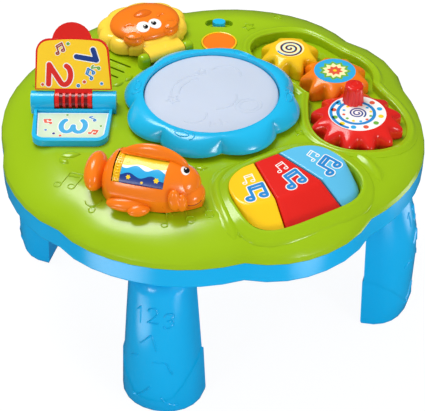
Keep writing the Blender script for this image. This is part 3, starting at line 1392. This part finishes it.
def finish_lion_face():
    """Domed face with two ears and a nose, on the mane's flat top."""
    centre = LION_CENTRE_Y - LION_HINGE_Y + FACE_SHIFT
    low = mane_top() + SEAT_GAP
    rings = []
    for rise, share in FACE_DOME_SHARES:
        angles = [math.tau * i / FACE_STEPS for i in range(FACE_STEPS)]
        rings.append([(FACE_HALF_WIDTH * share * math.cos(a), centre + FACE_HALF_DEPTH * share * math.sin(a),
                       low + FACE_HEIGHT * rise) for a in angles])
    face = to_object("lion_face", loft(rings))
    bumps = [ball(EAR_SIZE, (side * EAR_SPREAD, centre - EAR_SETBACK, low)) for side in (-1, 1)]
    bumps.append(ball(NOSE_SIZE, (0.0, centre + NOSE_SHIFT, low + FACE_HEIGHT * NOSE_RISE_SHARE)))
    union(face, bumps)
    wide = 4 * MANE_HALF_WIDTH
    subtract(face, [block(wide, wide, low - 4 * OVERRUN, low, (0.0, centre))])
    face.location = lion_axis()
    return finish(face, "orange")


# Fish

def fish_ring(share, width_share, height_share):
    """Cross-section of the body: an arch that stands on the deck."""
    x = FISH_TAIL_ROOT_X + FISH_LENGTH * share
    half = FISH_HALF_WIDTH * width_share
    top = FISH_HEIGHT * height_share
    waist = min(FISH_WAIST_RISE, top / 2)
    points = [(x, half * FISH_BASE_SHARE, SEAT_GAP)]
    for i in range(FISH_STEPS + 1):
        angle = math.pi * i / FISH_STEPS
        points.append((x, half * math.cos(angle), waist + (top - waist) * math.sin(angle)))
    points.append((x, -half * FISH_BASE_SHARE, SEAT_GAP))
    return points


def fin_shape():
    """Back fin: an arched ridge from the tail end to the forehead, thinner at its crest."""
    low = FISH_HEIGHT * FIN_ROOT_SHARE
    half = FIN_THICKNESS / 2
    thin = half * FIN_CREST_SHARE
    sections = []
    for i in range(FIN_STEPS + 1):
        share = i / FIN_STEPS
        x = FIN_START_X + (FIN_END_X - FIN_START_X) * share
        arch = math.sin(math.pi * share) ** FIN_ARCH_POWER
        crest = low + max(FISH_HEIGHT + FIN_RISE - low, WELD) * arch + WELD
        side = low + max(FISH_HEIGHT + FIN_RISE * FIN_SIDE_SHARE - low, WELD) * arch
        sections.append([(x, -half, low - WALL), (x, half, low - WALL), (x, half, side),
                         (x, thin, crest), (x, -thin, crest), (x, -half, side)])
    return loft(sections)


def make_fish():
    body = to_object("fish_body", loft([fish_ring(*row) for row in FISH_BODY_SHARES]))
    swellings = [ball(TAIL_SIZE, (TAIL_X, 0.0, TAIL_RISE))]
    for side in (-1, 1):
        swellings.append(ball(CHEEK_SIZE, (CHEEK_X, side * CHEEK_Y, CHEEK_RISE)))
        for x in BELLY_FIN_PLACES_X:
            swellings.append(ball(BELLY_FIN_SIZE, (x, side * BELLY_FIN_Y, BELLY_FIN_RISE)))
    union(body, swellings + [fin_shape()])
    length = ROLLER_END_X - ROLLER_START_X
    middle = (ROLLER_END_X + ROLLER_START_X) / 2
    half = length / 2 + RUNNING_GAP
    chamber = lay_along_x(rod(ROLLER_RADIUS + RUNNING_GAP, middle - half, middle + half, FINE_STEPS),
                          (0.0, 0.0, FISH_WAIST_RISE))
    deep = 2 * FISH_HALF_WIDTH
    window = block(2 * half, deep, WINDOW_SILL_RISE, FISH_HEIGHT + OVERRUN / 2,
                   (middle, WINDOW_TOP_Y - deep / 2))
    axle_hole = lay_along_x(rod(ROLLER_AXLE_RADIUS + SEAT_GAP, ROLLER_START_X - ROLLER_AXLE_REACH - SEAT_GAP,
                                ROLLER_END_X + ROLLER_AXLE_REACH + SEAT_GAP), (0.0, 0.0, FISH_WAIST_RISE))
    below = block(4 * FISH_LENGTH, 4 * FISH_LENGTH, -4 * OVERRUN, SEAT_GAP)
    subtract(body, [chamber, window, axle_hole, below])
    place = polar(TABLE_RADIUS - FISH_INSET, FISH_AZIMUTH, DECK_Z)
    turn = FISH_AZIMUTH + math.pi / 2
    body.location = place
    body.rotation_euler = (0.0, 0.0, turn)
    finish(body, "orange")
    make_roller(place, turn)


def make_roller(place, turn):
    """Printed roller with a ridged thumb ring at its tail end."""
    count = 2 * ROLLER_RIDGES
    low, high = ROLLER_START_X, ROLLER_END_X
    split = low + ROLLER_RING_LENGTH
    print_radius = ROLLER_RADIUS - ROLLER_RING_DROP
    rings = []
    for x in (low, split):
        rings.append([(x, (ROLLER_RADIUS - ROLLER_RIDGE_HEIGHT * (i % 2)) * math.cos(math.tau * i / count),
                       (ROLLER_RADIUS - ROLLER_RIDGE_HEIGHT * (i % 2)) * math.sin(math.tau * i / count))
                      for i in range(count)])
    for x in (split, high):
        rings.append([(x, print_radius * math.cos(math.tau * i / count),
                       print_radius * math.sin(math.tau * i / count)) for i in range(count)])
    axis = place + Vector((0.0, 0.0, FISH_WAIST_RISE))
    roller = to_object("fish_roller", loft(rings))
    subtract(roller, [lay_along_x(rod(ROLLER_AXLE_RADIUS + SEAT_GAP, low - OVERRUN, high + OVERRUN))])
    roller.location = axis
    roller.rotation_euler = (0.0, 0.0, turn)
    finish(roller, "yellow")
    axle = lay_along_x(rod(ROLLER_AXLE_RADIUS, low - ROLLER_AXLE_REACH, high + ROLLER_AXLE_REACH))
    finish(to_object("fish_roller_axle", axle, axis, turn), "steel")


# Badge and power switch

def make_badge():
    place = polar(TABLE_RADIUS - BADGE_INSET, BADGE_AZIMUTH, DECK_Z - BADGE_SINK + SEAT_GAP)
    inner = BADGE_RADIUS - BADGE_RIM_WIDTH
    crest = BADGE_RADIUS - BADGE_RIM_WIDTH / 2
    shoulder = BADGE_RIM_HEIGHT * BADGE_EDGE_SHARE
    rim = turned([(inner, 0.0), (BADGE_RADIUS, 0.0), (BADGE_RADIUS, shoulder), (crest, BADGE_RIM_HEIGHT),
                  (inner, shoulder)], ROUND_STEPS)
    finish(to_object("badge_rim", rim, place), "yellow")
    edge = inner - SEAT_GAP
    disc = turned([(0.0, 0.0), (edge, 0.0), (edge, BADGE_HEIGHT * BADGE_EDGE_SHARE),
                   (edge / 2, BADGE_HEIGHT), (0.0, BADGE_HEIGHT)], ROUND_STEPS)
    finish(to_object("badge_plate", disc, place), "orange")


def make_switch():
    turn = SWITCH_AZIMUTH - math.pi / 2
    recess_z = DECK_Z - SWITCH_RECESS_DEPTH
    place = polar(TABLE_RADIUS - SWITCH_INSET, SWITCH_AZIMUTH, recess_z)
    outline = stadium(SWITCH_KNOB_LENGTH, SWITCH_KNOB_WIDTH)
    knob = to_object("power_switch_knob", prism(outline, RUNNING_GAP, RUNNING_GAP + SWITCH_KNOB_HEIGHT))
    body_top = -WALL - SEAT_GAP
    body_bottom = body_top - SWITCH_BODY_HEIGHT
    stem = block(SWITCH_STEM_SIZE, SWITCH_STEM_SIZE, body_top - WALL, RUNNING_GAP + WELD)
    union(knob, [stem])
    knob.location = place
    knob.rotation_euler = (0.0, 0.0, turn)
    finish(knob, "ring_blue")
    case = block(SWITCH_BODY_LENGTH, SWITCH_BODY_WIDTH, body_bottom, body_top)
    body = to_object("power_switch_body", case)
    track = block(SWITCH_STEM_SIZE + 2 * SWITCH_TRAVEL + 2 * RUNNING_GAP, SWITCH_STEM_SIZE + 2 * RUNNING_GAP,
                  body_top - WALL - RUNNING_GAP, body_top + OVERRUN)
    subtract(body, [track])
    body.location = place
    body.rotation_euler = (0.0, 0.0, turn)
    finish(body, "black")


def main():
    remove_everything()
    make_top_shell()
    make_base_shell()
    for name, azimuth in LEG_AZIMUTHS.items():
        make_leg(name, azimuth)
    make_case_screws()
    make_battery_door()
    make_batteries()
    make_electronics()
    make_bezel()
    make_drum_skin()
    make_keys()
    make_gears()
    make_knob()
    make_book_tray()
    make_book_page()
    make_lion()
    make_fish()
    make_badge()
    make_switch()


main()
